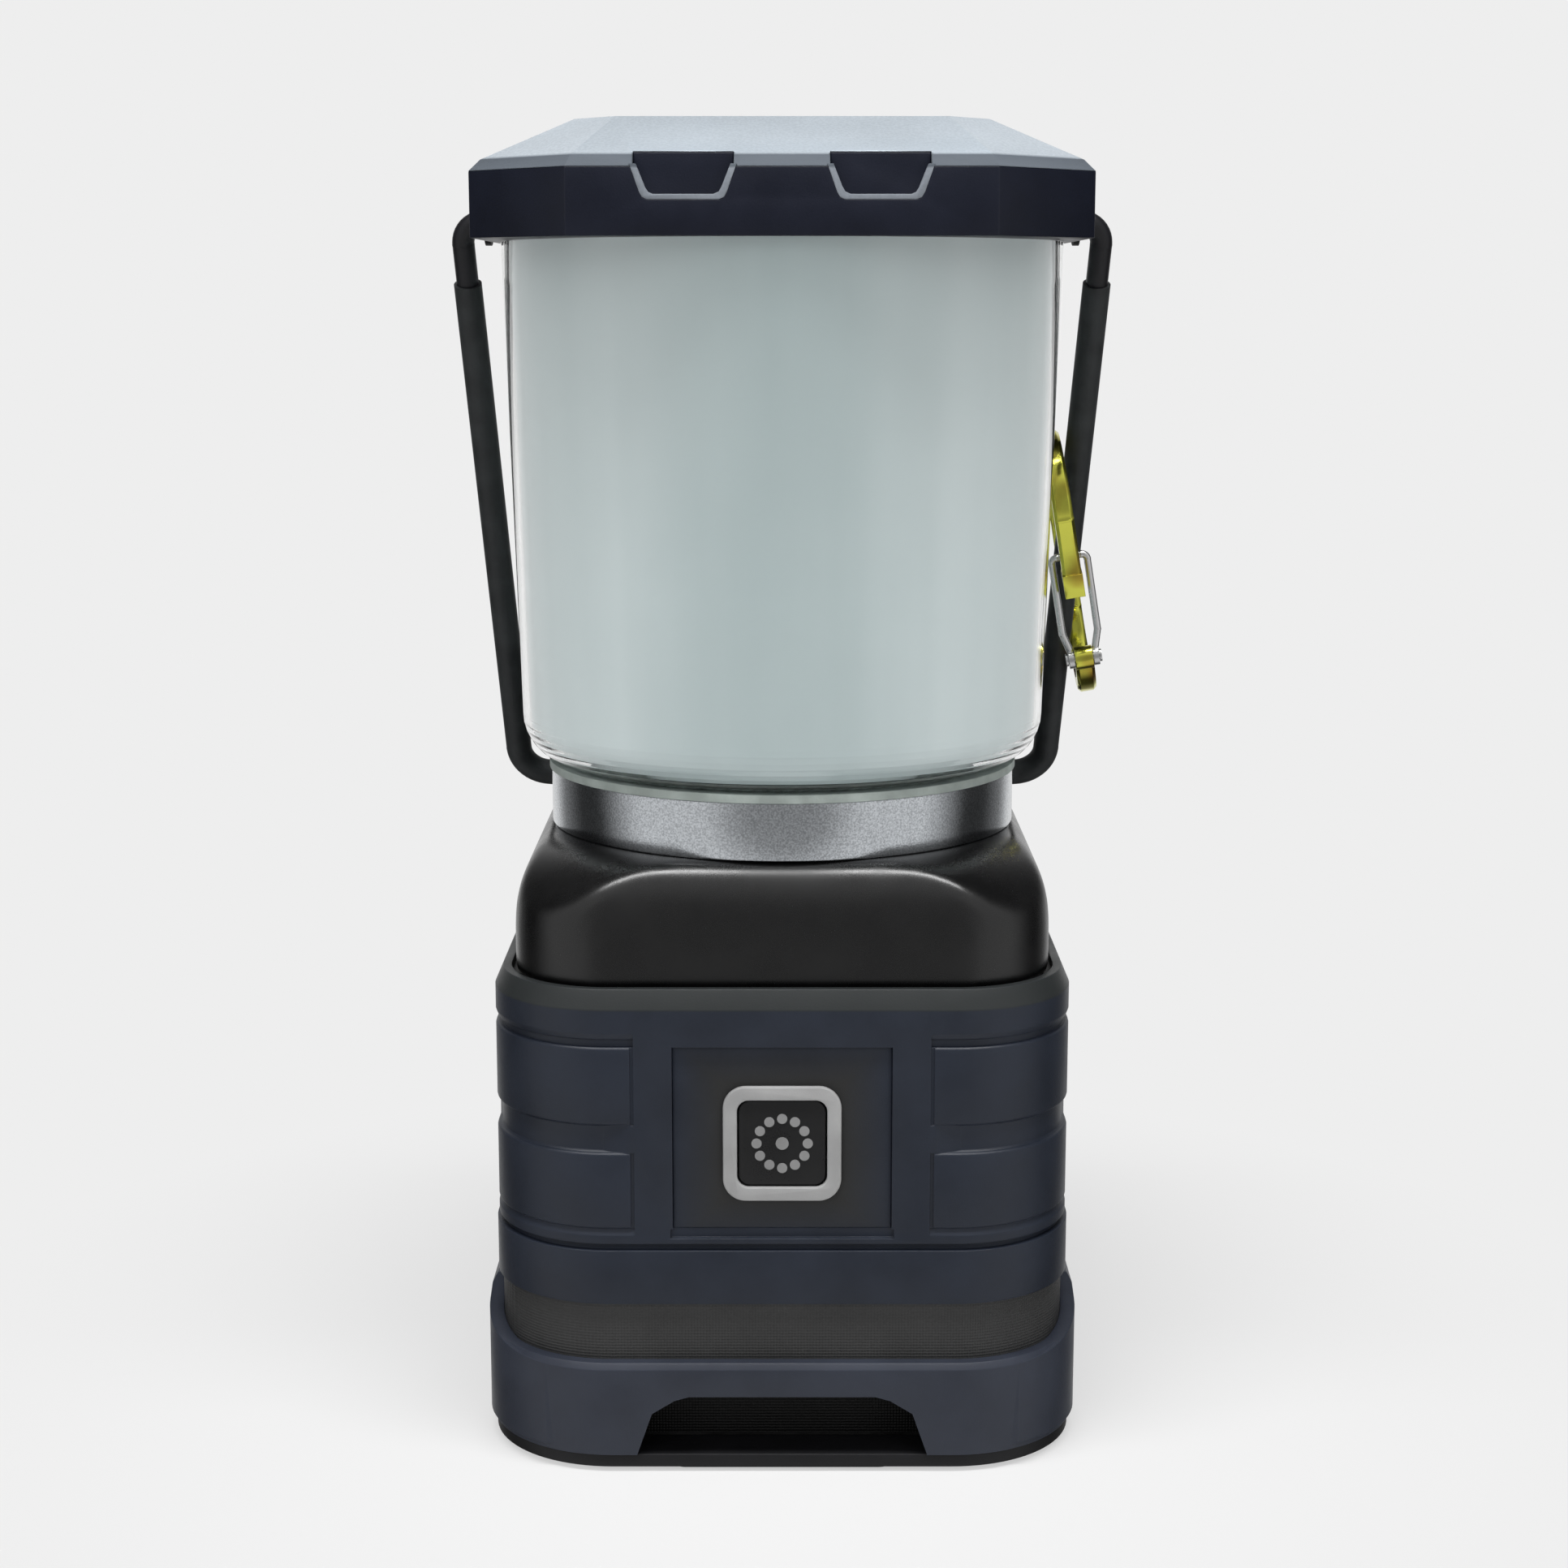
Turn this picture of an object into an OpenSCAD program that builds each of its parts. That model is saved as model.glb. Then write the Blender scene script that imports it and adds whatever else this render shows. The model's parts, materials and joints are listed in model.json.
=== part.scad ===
/* [Body] */
// Width of the body over the bumper, its widest part
body_w = 100; // [99:0.5:102]
// Corner radius of the bumper
body_r = 22; // [21:0.5:23]
// Height of the top of the bottom plate
plate_top = 3; // [2.8:0.1:3.2]
// Height of the top of the bumper
bumper_top = 19; // [18:0.5:20]
// Height of the top of the plain housing band
band_top = 28.8; // [28:0.1:29.5]
// Height of the top of the grip sleeve
sleeve_top = 81.4; // [81:0.1:82]
// Height of the flat top of the shoulder
shoulder_top = 101; // [100:0.5:102]
// Step from the housing's wall in to the shoulder
shoulder_step = 0.7; // [0.5:0.1:0.9]

/* [Shade] */
// Height of the top of the neck ring and its seal
neck_top = 112; // [111:0.5:113]
// Outer radius of the neck ring
neck_r = 40.3; // [40:0.1:41]
// How much wider in radius the globe is at its top than at its foot
globe_flare = 2.4; // [2:0.1:2.8]
// Height of the top of the globe
globe_top = 200; // [199:0.5:201]

/* [Cap] */
// Half width of the cap across its flats
cap_half = 49.3; // [49:0.1:49.5]
// Leg of the cut corners of the cap
cap_cut = 16.4; // [15:0.2:18]
// How far the cap stands out past the globe
cap_rim = 1.7; // [1.5:0.1:2]
// Height of the cap walls
cap_wall_h = 10.3; // [10:0.1:10.6]
// Rise of the roof above the cap walls
roof_h = 8.4; // [8:0.1:9]
// Run of the roof's slopes, from the cap's sides to the flat top
roof_run = 16.3; // [15:0.1:17]

/* [Button] */
// Height of the button centre
button_z = 56; // [55:0.5:57]
// Width of the square ring around the button
ring_w = 19.2; // [18.8:0.2:19.6]
// Width of the button
button_w = 14.2; // [13.8:0.2:14.4]
// Travel of the button
button_travel = 1; // [0.8:0.1:1]

/* [Bail] */
// Height of the bail pivot below the top of the cap walls
pivot_drop = 6.8; // [6.6:0.1:7]
// Distance from the cap's side to the middle of the bail's arm
arm_gap = 5.2; // [5:0.1:5.6]
// How far the arms lean in from the pivot to the bar
arm_lean_in = 4.1; // [3.8:0.1:4.2]
// Length of the bail from the pivot to the bar
bail_len = 112.8; // [110:0.4:114]
// Angle at which the bail hangs behind the lantern
bail_lean = 24.1; // [23.5:0.1:25]
// Diameter of the bail wire
wire_d = 3.8; // [3.6:0.1:4]
// Thickness of the rubber sleeve on the bail
sleeve_wall = 0.5; // [0.4:0.1:0.6]

/* [Carabiner] */
// Height of the carabiner
hook_h = 50; // [49:0.5:51]
// Width of the carabiner
hook_w = 24; // [23.5:0.5:24.5]
// Diameter of the carabiner's rod
hook_d = 3.2; // [3:0.1:3.3]
// Distance along the arm from the pivot to the carabiner's middle
hook_place = 65.3; // [64.3:0.5:66.3]

/* [Hidden] */
$fn = 48;

navy = [0.16, 0.19, 0.24];
dark = [0.14, 0.15, 0.16];
black = [0.05, 0.05, 0.06];
silver = [0.75, 0.76, 0.78];
eps = 0.01;
fit = 0.05;                           // clearance of pieces that sit in each other

// Body
body_half = body_w/2;
corner = body_half - body_r;          // centre of every corner round of the body
pad_h = 0.8;
pad_half = 16;
pad_w = 4.4;
core_half = body_half - 4.8;                    // outside of the lower housing
core_in = core_half - 2.4;                     // inside of the lower housing
core_top = 80;
band_half = body_half - 2.5;
sleeve_half = body_half - 2;
shoulder_half = core_half - shoulder_step;
lip_half = core_in - 5.4;                     // opening in the housing's bottom flange
door_half = lip_half + 3.6;
hole_half = door_half + 0.3;
plug_half = lip_half - 0.2;
seal_z = 2.4;
screw_r = 2;                          // the coin screw that holds the door
screw_top = 19;
coin_r = 5;
coin_top = 1.95;
coin_slot = 0.6;
door_boss = 6;
plug_top = 6.5;                       // top of the ring that plugs the door into the housing
bumper_ease = 0.7;
wing_top = bumper_top + 5.5;          // top of the bumper at the sides
wing_out = band_half - 0.5;
wing_in = wing_out - 25;
cut_top = 13.3;                       // top of the finger cut-outs in the bumper
cut_low_half = 23.9;
cut_mid_half = 21.4;
cut_top_half = 16.3;
pocket_y = core_half - 4.9;                    // back of the finger recess behind each cut-out
pocket_wall = 1.8;
boss_xy = core_in - 6.9;                     // long screw bosses
boss_r = 4;
seat_z = 66;                          // seat of the long screws' heads
plate_screw = [body_half - 19, body_half - 6.6];
screw_head = 1.8;                     // radii and depths of the plate screws
screw_shank = 1;
screw_seat = plate_top - 1;
screw_end = 10;
pillar_r = 1.8;                       // pillars that take them
pillar_top = 12;
flange_top = plate_top + 2;
long_head = 2.7;                      // and of the long screws
long_shank = 1.5;
long_end = 88;
pad_y = core_half;

// Cells and tray
cell_r = 16.8;
cell_xy = 17.8;
cell_z0 = 9.5;
cell_z1 = 70.5;
nub_h = 1.5;
nub_r = 4.75;
tray_r = 18.4;
tray_bore = 17.1;
post_r = 7.4;
tray_z = 72;
lead_r = 1.1;
contact_half = 5;
contact_len = 48;

// Panels and switch
groove_low = 37.9;
groove_h = 1.1;
groove_depth = 0.9;
pillar_in = 18.2;
pillar_out = 24;
ramp = 5;                             // the sunk band rises to a pillar over this run
seam = 0.6;
seam_depth = 0.35;
pad_ease = 0.6;
rim_low = sleeve_top - 3.1;
rim_run = 1.4;
panel_top = 72.1;
panel_low = 39.1;
frame_low = 41.5;
rib_low = 54.4;
rib_high = 59;
panel_half = 17.8;
panel_face = sleeve_half - 0.8;
ring_face = sleeve_half + 0.3;
ring_bar = 2.3;
cap_face = sleeve_half - 0.3;
stem_r = 1.8;
button_round = 1.9;
spring_h = 3.2;
spring_r = 3.4;
icon_h = 0.12;
dot_r = 0.83;
stem_hole = button_w/2 + 1.1;
board_y = core_in - 2.8;
switch_h = 0.4;
stem_back = core_in + 1.7;
stem_len = stem_back - board_y - switch_h - button_travel - 0.1;
switch_half = 1.6;
board_size = [12, 9.5];
dot_ring = 4.15;

// Neck, shade and column
brow_run = 6;                         // the shoulder's top edge is rounded over this run
brow_rise = 13;                       // and this rise
dome_start = neck_r + 0.5;
dome_r = 16.7;
dome_edge = body_half + 20;           // beyond the shoulder's corners
board_half = 30;                      // driver board and what holds it
board_z = core_top + 4;
board_h = 1.6;
board_screw = [24, 24];
board_shank = 1.2;
board_end = board_z + 8;
lead_hole = 3;
seal_h = 1.4;
globe_wall = 1.2;
globe_bend = 8;
diffuser_wall = 1.2;
diffuser_gap = 0.2;
ring_bore = neck_r - 4.1;
led_plate_h = 1.5;
column_half = 8;
column_flange = 15;
led_board_h = 1.2;
led_board_half = 5;
led_low = neck_top - 2;
led_step = 12;
reflector_h = 1.5;
cap_screw = [11.5, 11.5];
cap_shank = 1.4;

// Cap and roof
cap_top = globe_top + cap_wall_h;
roof_top = cap_top + roof_h;
strip_h = 1.8;
strip_half = cap_half - 1.8;
cap_corner = (2*cap_half - cap_cut)/sqrt(2);
roof_half = cap_half - roof_run;
roof_corner = cap_corner - roof_run;
globe_top_r = cap_half - cap_rim;
globe_low_r = globe_top_r - globe_flare;
lip_r = globe_top_r - 2.6;
strip_corner = cap_corner - 1.8;
cave_x = cap_half - 2;
cave_y = cap_half - 4.6;
cave_corner = cap_corner - 2.6;
roof_wall = 4;
lip_h = 2;
deck_z = cap_top - 2;
notch_x = 15;
notch_depth = 2.8;
notch_low = cap_top - 4.1;
notch_low_half = 5.6;
notch_top_half = 8.05;
notch_lip = 0.8;
tab = 1.1;
tab_half = 7.6;
tab_h = 2.2;
cap_head = 2.5;
cap_head_h = 1.2;

// Bail
pivot_z = cap_top - pivot_drop;
wire_r = wire_d/2;
sleeve_r = wire_r + sleeve_wall;
arm_top_x = cap_half + arm_gap;
arm_low_x = arm_top_x - arm_lean_in;
arm_tilt = atan((arm_top_x - arm_low_x)/bail_len);
top_bend = 4;
low_bend = 6;
top_run = top_bend*tan(45 + arm_tilt/2);
low_run = low_bend*tan(45 - arm_tilt/2);
sleeve_start = 11.4;
bush_r = 3.1;
bush_x = cap_half + 1;
stub_x = cave_x - 2.7;
bead = 0.03;                          // how far the beads at the joints of a rod stand out
joint_gap = 0.1;                      // gap between rods that a bead bridges

// Carabiner, in its own frame: its loop lies in YZ, the gate side is -Y
rod = hook_d/2;
bar_half = rod + 0.1;
bar_cut = 0.55;
loop_y = hook_w/2 - rod;
loop_z = hook_h/2 - rod - loop_y;     // centre of each end bend
hook_tilt = 10.3;                       // turn of the loop about Y, towards the arm
hook_turn = 17;                       // lean of the loop, backwards
hook_shift = 2.6;                       // the arm crosses the loop this far behind its middle
gate_y = -10.2;
gate_z = -14.6;
gate_r = 0.65;
gate_x = 3.2;                         // legs of the gate at its end
eye_x = 2.25;                         // and at its eyes
gate_end = [-7.85, 4.6];
nose_z = -1.7;
nose_h = 4.4;
nose_half = 1.8;
hinge_r = 2.1;
hinge_half = 1.6;
pin_r = 0.8;
rivet_head_r = 1.15;

// ---------- shapes ----------

module rounded_square(half, r) {
    square([2*half, 2*(half - r)], center = true);
    square([2*(half - r), 2*half], center = true);
    for (x = [-1, 1], y = [-1, 1]) translate([x*(half - r), y*(half - r)]) circle(r);
}

// A square block with the body's corner centres, from z0 to z1
module block(half, z0, z1, centre = corner) {
    translate([0, 0, z0]) linear_extrude(z1 - z0) rounded_square(half, half - centre);
}

module ring_block(outer, inner, z0, z1, centre = corner) {
    difference() {
        block(outer, z0, z1, centre);
        block(inner, z0 - 1, z1 + 1, centre);
    }
}

// Sweeps a profile, drawn as [distance from the corner centre, height], round the body
module around() {
    for (side = [0:3]) rotate(90*side) {
        translate([corner, corner]) rotate_extrude(angle = 90) children();
        translate([corner, corner]) rotate([90, 0, 0]) linear_extrude(2*corner) children();
    }
}

module disc(r, z0, z1) { translate([0, 0, z0]) cylinder(r = r, h = z1 - z0); }

module tube(r, bore, z0, z1) {
    difference() {
        disc(r, z0, z1);
        disc(bore, z0 - 1, z1 + 1);
    }
}

module box(low, high) { translate(low) cube(high - low); }

module four(p) { for (x = [-1, 1], y = [-1, 1]) translate([x*p[0], y*p[1]]) children(); }

module sides() { for (side = [0:3]) rotate(90*side) children(); }

// An eight-sided solid from its half width and corner-face distance at each height
module octagon(flats, corners, heights) {
    last = len(heights) - 1;
    intersection_for (turn = [0:3]) rotate(45*turn)
        rotate([90, 0, 0]) linear_extrude(4*cap_half, center = true)
            let (reach = turn % 2 == 0 ? flats : corners)
            polygon(concat([for (i = [0:last]) [reach[i], heights[i]]],
                [for (i = [last:-1:0]) [-reach[i], heights[i]]]));
}

module across(r, x0, x1) { translate([x0, 0]) rotate([0, 90, 0]) cylinder(r = r, h = x1 - x0); }

// A slab behind the front face, drawn as [x, z], from y = -front to y = -back
module front_slab(front, back) {
    translate([0, -back, 0]) rotate([90, 0, 0]) linear_extrude(front - back) children();
}

// ---------- base ----------

module foot_pads() {
    color(black) sides() translate([0, -pad_y]) linear_extrude(pad_h) {
        square([2*pad_half, pad_w], center = true);
        for (x = [-pad_half, pad_half]) translate([x, 0]) circle(pad_w/2);
    }
}

module base_plate() {
    color(black) difference() {
        block(body_half - 1, pad_h, plate_top);
        block(hole_half, 0, plate_top + 1);
        four(plate_screw) {
            disc(screw_head + 0.1, 0, screw_seat);
            disc(screw_shank + 0.1, 0, plate_top + 1);
        }
    }
}

module base_screws() {
    color(silver) four(plate_screw) {
        disc(screw_head, screw_seat - 0.9, screw_seat);
        disc(screw_shank, screw_seat, screw_end);
    }
}

module cut_out(half) {
    front_slab(half + 1, pocket_y) polygon([[-cut_low_half, plate_top - 1], [cut_low_half, plate_top - 1],
        [cut_low_half, plate_top], [cut_mid_half, cut_top - 3], [cut_top_half + 1.4, cut_top - 0.7],
        [cut_top_half - 1, cut_top], [1 - cut_top_half, cut_top], [-cut_top_half - 1.4, cut_top - 0.7],
        [-cut_mid_half, cut_top - 3], [-cut_low_half, plate_top]]);
}

// Seen from the side, the bumper's walls rise in a hollow curve from the front and back to the sides
module wing_form() {
    rise = wing_top - bumper_top + 1;
    curve = [for (t = [0:0.125:1])
        [wing_out - (wing_out - wing_in)*t, bumper_top - 1 + rise*(0.35*t + 0.65*t*t)]];
    rotate([90, 0, 90]) linear_extrude(2*body_half + 2, center = true)
        polygon(concat([[wing_out, plate_top + 1]], curve,
            [for (i = [len(curve) - 1:-1:0]) [-curve[i][0], curve[i][1]]], [[-wing_out, plate_top + 1]]));
}

module base_bumper() {
    color(navy) difference() {
        union() {
            around() polygon([[core_half - corner, plate_top], [body_r - 0.6, plate_top],
                [body_r, bumper_top - 1], [body_r - bumper_ease, bumper_top],
                [core_half - corner, bumper_top]]);
            intersection() {
                around() polygon([[band_half + fit - corner, plate_top + 1], [body_r, plate_top + 1],
                    [body_r, wing_top - 1], [body_r - bumper_ease, wing_top],
                    [band_half + fit - corner, wing_top]]);
                wing_form();
            }
        }
        sides() cut_out(body_half);
    }
}

module lower_housing() {
    color(dark) difference() {
        union() {
            ring_block(core_half, core_in, plate_top, core_top);
            ring_block(band_half, core_half - 1, bumper_top, band_top);
            ring_block(core_in + 1, lip_half, plate_top, flange_top);
            intersection() {
                union() {
                    sides() box([-cut_low_half - pocket_wall, -core_in - 1, plate_top],
                        [cut_low_half + pocket_wall, pocket_wall - pocket_y, cut_top + pocket_wall]);
                    four([boss_xy, boss_xy]) disc(boss_r, plug_top + 0.5, core_top);
                    for (turn = [0, 90]) rotate(turn) four(plate_screw) disc(pillar_r, plate_top, pillar_top);
                }
                block(core_half - 0.1, plate_top, core_top);
            }
        }
        sides() cut_out(body_half);
        four([boss_xy, boss_xy]) {
            disc(long_head + 0.3, 0, seat_z);
            disc(long_shank + 0.1, 0, core_top + 1);
        }
        four(plate_screw) disc(screw_shank + fit, 0, screw_end + 1);
        box([-stem_hole, -core_half - 1, button_z - stem_hole],
            [stem_hole, 1 - core_in, button_z + stem_hole]);
    }
}

module base_door() {
    color(black) difference() {
        union() {
            block(door_half, pad_h, seal_z);
            ring_block(plug_half, plug_half - 2, seal_z, plug_top);
            disc(door_boss, seal_z, plug_top + 1);
        }
        disc(coin_r + 0.1, 0, coin_top + fit);
        disc(screw_r + fit, 0, plug_top + 2);
    }
}

module door_seal() {
    color([0.3, 0.32, 0.3]) ring_block(door_half - 1, lip_half + 0.5, seal_z, plate_top);
}

module door_screw() {
    color(silver) {
        difference() {
            disc(coin_r, pad_h + 0.1, coin_top);
            box([1 - coin_r, -coin_slot, 0], [coin_r - 1, coin_slot, coin_top - 0.45]);
        }
        disc(screw_r, coin_top - fit, screw_top);
    }
}

module cell_springs() {
    color(silver) four([cell_xy, cell_xy]) rotate_extrude() polygon([[5.2, seal_z], [8, seal_z],
        [8, seal_z + 1.2], [6.6, seal_z + 1.9], [7.4, seal_z + 2.8], [6, seal_z + 3.6], [6.8, seal_z + 4.6],
        [5.4, seal_z + 5.4], [6, cell_z0], [3.4, cell_z0], [3.8, seal_z + 4]]);
}

// ---------- cells ----------

module battery_tray() {
    color(dark) difference() {
        union() {
            four([cell_xy, cell_xy]) disc(tray_r, cell_z0 + 2, tray_z + 1);
            disc(post_r, cell_z0 + 2, tray_z + 1);
            block(core_in, tray_z, tray_z + 2);
        }
        four([cell_xy, cell_xy]) disc(tray_bore, 0, tray_z);
        four([boss_xy, boss_xy]) disc(boss_r + fit, tray_z - 1, tray_z + 3);
        for (x = [-cell_xy, cell_xy]) translate([x, 0]) disc(lead_r + 0.1, tray_z - 1, tray_z + 3);
        for (x = [-cell_xy, cell_xy]) translate([x, 0])
            box([-contact_half - fit, -contact_len/2 - fit, cell_z1],
                [contact_half + fit, contact_len/2 + fit, tray_z]);
        disc(screw_r + 0.1, 0, screw_top + 1);
    }
}

// A cell with its button up, or down when flipped
module cell(x, y, flipped) {
    base = flipped ? cell_z0 + nub_h : cell_z0;
    color([0.75, 0.6, 0.3]) translate([x*cell_xy, y*cell_xy]) {
        disc(cell_r, base, base + cell_z1 - cell_z0 - nub_h);
        disc(nub_r, cell_z0, cell_z1);
    }
}

module cell_1() { cell(1, -1, false); }
module cell_2() { cell(1, 1, true); }
module cell_3() { cell(-1, 1, false); }
module cell_4() { cell(-1, -1, true); }

module top_contacts() {
    color(silver) for (x = [-cell_xy, cell_xy]) translate([x, 0])
        box([-contact_half, -contact_len/2, cell_z1], [contact_half, contact_len/2, tray_z]);
}

module battery_leads() {
    color([0.7, 0.1, 0.1]) for (x = [-cell_xy, cell_xy]) translate([x, 0]) disc(lead_r, tray_z, board_z);
}

// ---------- grip sleeve and switch ----------

// A raised pad of the sleeve's wall in section, with rounded edges
function pad_edge(face, z0, z1) = concat(
    [for (a = [0:30:90]) [face - pad_ease*(1 - sin(a)), z0 + pad_ease*(1 - cos(a))]],
    [for (a = [90:-30:0]) [face - pad_ease*(1 - sin(a)), z1 - pad_ease*(1 - cos(a))]]);

// The sleeve's wall in section: the low band, a groove, two pads with a sunk band between them, a
// groove and the bevelled rim
module sleeve_section() {
    face = sleeve_half - corner;
    groove = face - groove_depth;
    back = core_half - corner;
    polygon(concat(
        [[back, band_top], [face + 0.3, band_top], [face + 0.3, groove_low], [groove, groove_low],
            [groove, groove_low + groove_h], [face, groove_low + groove_h], [face, frame_low - 1.1],
            [face - 0.45, frame_low - 0.3]],
        pad_edge(face, frame_low, rib_low),
        [[groove, rib_low + 0.3], [groove, rib_high - 0.3]],
        pad_edge(face, rib_high, panel_top),
        [[groove, panel_top], [groove, panel_top + groove_h], [face - 0.35, panel_top + groove_h + 0.2],
            [face, panel_top + 2*groove_h], [face, rim_low], [face - rim_run, sleeve_top],
            [back, sleeve_top]]));
}

// The pillars in the middle of every side, and the band between the pads that rises to meet them
module pillars() {
    sunk = sleeve_half - groove_depth;
    sides() {
        box([-pillar_out, -sleeve_half, groove_low + groove_h], [pillar_out, eps - core_half, rim_low]);
        translate([0, 0, rib_low - 0.4]) linear_extrude(rib_high - rib_low + 0.8)
            polygon([[-pillar_out - ramp, -sunk], [-pillar_out, -sleeve_half], [pillar_out, -sleeve_half],
                [pillar_out + ramp, -sunk], [pillar_out + ramp, 1 - core_half],
                [-pillar_out - ramp, 1 - core_half]]);
    }
}

// The fine seams between the pads and the pillars
module pad_seams() {
    sides() for (x = [-pillar_out - seam, pillar_out], z = [[frame_low, rib_low], [rib_high, panel_top]])
        box([x, -sleeve_half - 1, z[0]], [x + seam, seam_depth - sleeve_half, z[1]]);
}

module grip_sleeve() {
    color(navy) difference() {
        union() {
            around() sleeve_section();
            intersection() {
                pillars();
                ring_block(sleeve_half, core_half, band_top, sleeve_top);
            }
        }
        pad_seams();
        sides() box([-panel_half, -sleeve_half - 1, frame_low], [panel_half, -panel_face, panel_top]);
        box([-panel_half, -sleeve_half - 1, frame_low], [panel_half, 1 - core_half, panel_top]);
        sides() box([-pillar_in, -sleeve_half - 1, panel_low + 0.8],
            [pillar_in, groove_depth - sleeve_half, frame_low + eps]);
    }
}

module square_xz(half, r) { translate([0, button_z]) rounded_square(half, r); }

module switch_panel() {
    color(dark) difference() {
        box([-panel_half, -panel_face, frame_low], [panel_half, -core_half, panel_top]);
        front_slab(body_half + 1, core_in) square_xz(button_w/2 + 0.15, button_round + 0.1);
    }
}

module button_ring() {
    color([0.65, 0.65, 0.66]) front_slab(ring_face, panel_face) difference() {
        square_xz(ring_w/2, button_round + 1.8);
        square_xz(ring_w/2 - ring_bar, button_round);
    }
}

module button_cap() {
    color(dark) {
        front_slab(cap_face, core_in + 1.6) square_xz(button_w/2, button_round);
        translate([0, -stem_back, button_z]) rotate([-90, 0]) cylinder(r = stem_r, h = stem_len);
    }
}

module button_icon() {
    color([0.5, 0.5, 0.5]) translate([0, -cap_face, button_z]) rotate([90, 0]) {
        cylinder(r = dot_r + 0.22, h = icon_h);
        for (i = [0:11]) rotate(30*i) translate([dot_ring, 0]) cylinder(r = dot_r, h = icon_h);
    }
}

module button_spring() {
    color(silver) translate([0, -board_y - spring_h, button_z]) rotate([-90, 0]) difference() {
        cylinder(r = spring_r, h = spring_h);
        translate([0, 0, -1]) cylinder(r = spring_r - 1, h = spring_h + 2);
    }
}

module switch_board() {
    color([0.1, 0.3, 0.15]) {
        box([-board_size[0], -board_y, button_z - board_size[1]],
            [board_size[0], 1.4 - board_y, button_z + board_size[1]]);
        for (x = [-1, 1], z = [-1, 1])
            translate([x*(board_size[0] - 2.2), 0, button_z + z*(board_size[1] - 0.7)])
                box([-1.2, -core_in, -0.7], [1.2, -board_y, 0.7]);
    }
}

module tact_switch() {
    color(black)
        box([-switch_half, -board_y - switch_h, button_z - switch_half],
            [switch_half, -board_y, button_z + switch_half]);
}

// ---------- shoulder ----------

// The shoulder's outer form, or its inside when inset: a rounded block under a dome, so that its
// corners are lower than the middle of its sides
module shoulder(inset) {
    top = shoulder_top - inset;
    reach = shoulder_half - inset - corner;
    intersection() {
        around() polygon(concat([[0, core_top - 3], [reach, core_top - 3]],
            [for (a = [0:9:90])
                [reach - (brow_run - inset)*(1 - cos(a)), top - (brow_rise - inset)*(1 - sin(a))]],
            [[0, top]]));
        rotate_extrude() polygon(concat([[0, core_top - 4], [dome_edge, core_top - 4], [dome_edge, core_top]],
            [for (a = [54:-6:0]) [dome_start + dome_r*sin(a), top - dome_r*(1 - cos(a))]], [[0, top]]));
    }
}

module shoulder_fill(inset) {
    intersection() {
        block(shoulder_half - inset, core_top, shoulder_top - inset);
        union() {
            shoulder(inset);
            block(corner + 1, core_top, shoulder_top - inset, corner - 4);
        }
    }
}

module upper_housing() {
    color(dark) difference() {
        union() {
            difference() {
                shoulder_fill(0);
                translate([0, 0, -eps]) shoulder_fill(2.5);
                block(shoulder_half - 2.5, core_top - 1, core_top + 5);
            }
            intersection() {
                union() {
                    four([boss_xy, boss_xy]) disc(boss_r, core_top, shoulder_top - 6);
                    four(board_screw) disc(3, board_z + board_h, shoulder_top - 2);
                }
                shoulder_fill(0.5);
            }
        }
        four([boss_xy, boss_xy]) disc(long_shank + fit, core_top - 1, long_end + 2);
        four(board_screw) disc(board_shank + fit, core_top, board_end + 2);
        disc(lead_hole, core_top, shoulder_top + 1);
    }
}

module driver_board() {
    color([0.1, 0.3, 0.15]) difference() {
        block(board_half, board_z, board_z + board_h, board_half - 4);
        four(board_screw) disc(board_shank + fit, board_z - 1, board_z + board_h + 1);
    }
    color(black) translate([0, 0, board_z + board_h]) {
        box([-14, -10, 0], [-4, 4, 3.4]);
        box([6, -16, 0], [16, -10, 4.4]);
    }
}

module board_screws() {
    color(silver) four(board_screw) {
        disc(2.2, board_z - 1.4, board_z);
        disc(board_shank, board_z, board_end);
    }
}

module housing_screws() {
    color(silver) four([boss_xy, boss_xy]) {
        disc(long_head, seat_z - 2.4, seat_z);
        disc(long_shank, seat_z, long_end);
    }
}

module led_leads() {
    color([0.7, 0.1, 0.1]) for (x = [-1.3, 1.3]) translate([x, 0]) disc(0.9, board_z + board_h, led_low + 8);
}

// ---------- neck and shade ----------

module neck_ring() {
    color(silver) tube(neck_r, ring_bore, shoulder_top, neck_top - seal_h);
}

module shade_seal() {
    color([0.42, 0.46, 0.43]) tube(neck_r + 0.4, ring_bore, neck_top - seal_h, neck_top);
}

module led_plate() {
    color(silver) tube(ring_bore - 0.1, lead_hole, shoulder_top, shoulder_top + led_plate_h);
}

module light_column() {
    color(silver) difference() {
        union() {
            block(column_half, shoulder_top + led_plate_h, deck_z, column_half - 1);
            for (z = [shoulder_top + led_plate_h, deck_z - 2])
                block(column_flange, z, z + 2, column_flange - 3);
        }
        disc(column_half - 2, shoulder_top, cap_top);
        four(cap_screw) disc(cap_shank + 0.1, deck_z - 3, deck_z + 1);
    }
}

module led_boards() {
    color([0.9, 0.9, 0.85]) sides()
        box([-led_board_half, -column_half - led_board_h, led_low],
            [led_board_half, -column_half, globe_top]);
}

module led_chips() {
    color([0.95, 0.85, 0.4]) sides() for (i = [0:6])
        translate([0, -column_half - led_board_h, led_low + 6 + led_step*i])
            box([-1.8, -0.8, 0], [1.8, 0, 3]);
}

module cap_reflector() {
    color([0.95, 0.95, 0.95]) difference() {
        disc(lip_r - 0.1, globe_top, globe_top + reflector_h);
        block(column_half + led_board_h + 0.2, globe_top - 1, cap_top, column_half);
    }
}

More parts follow.
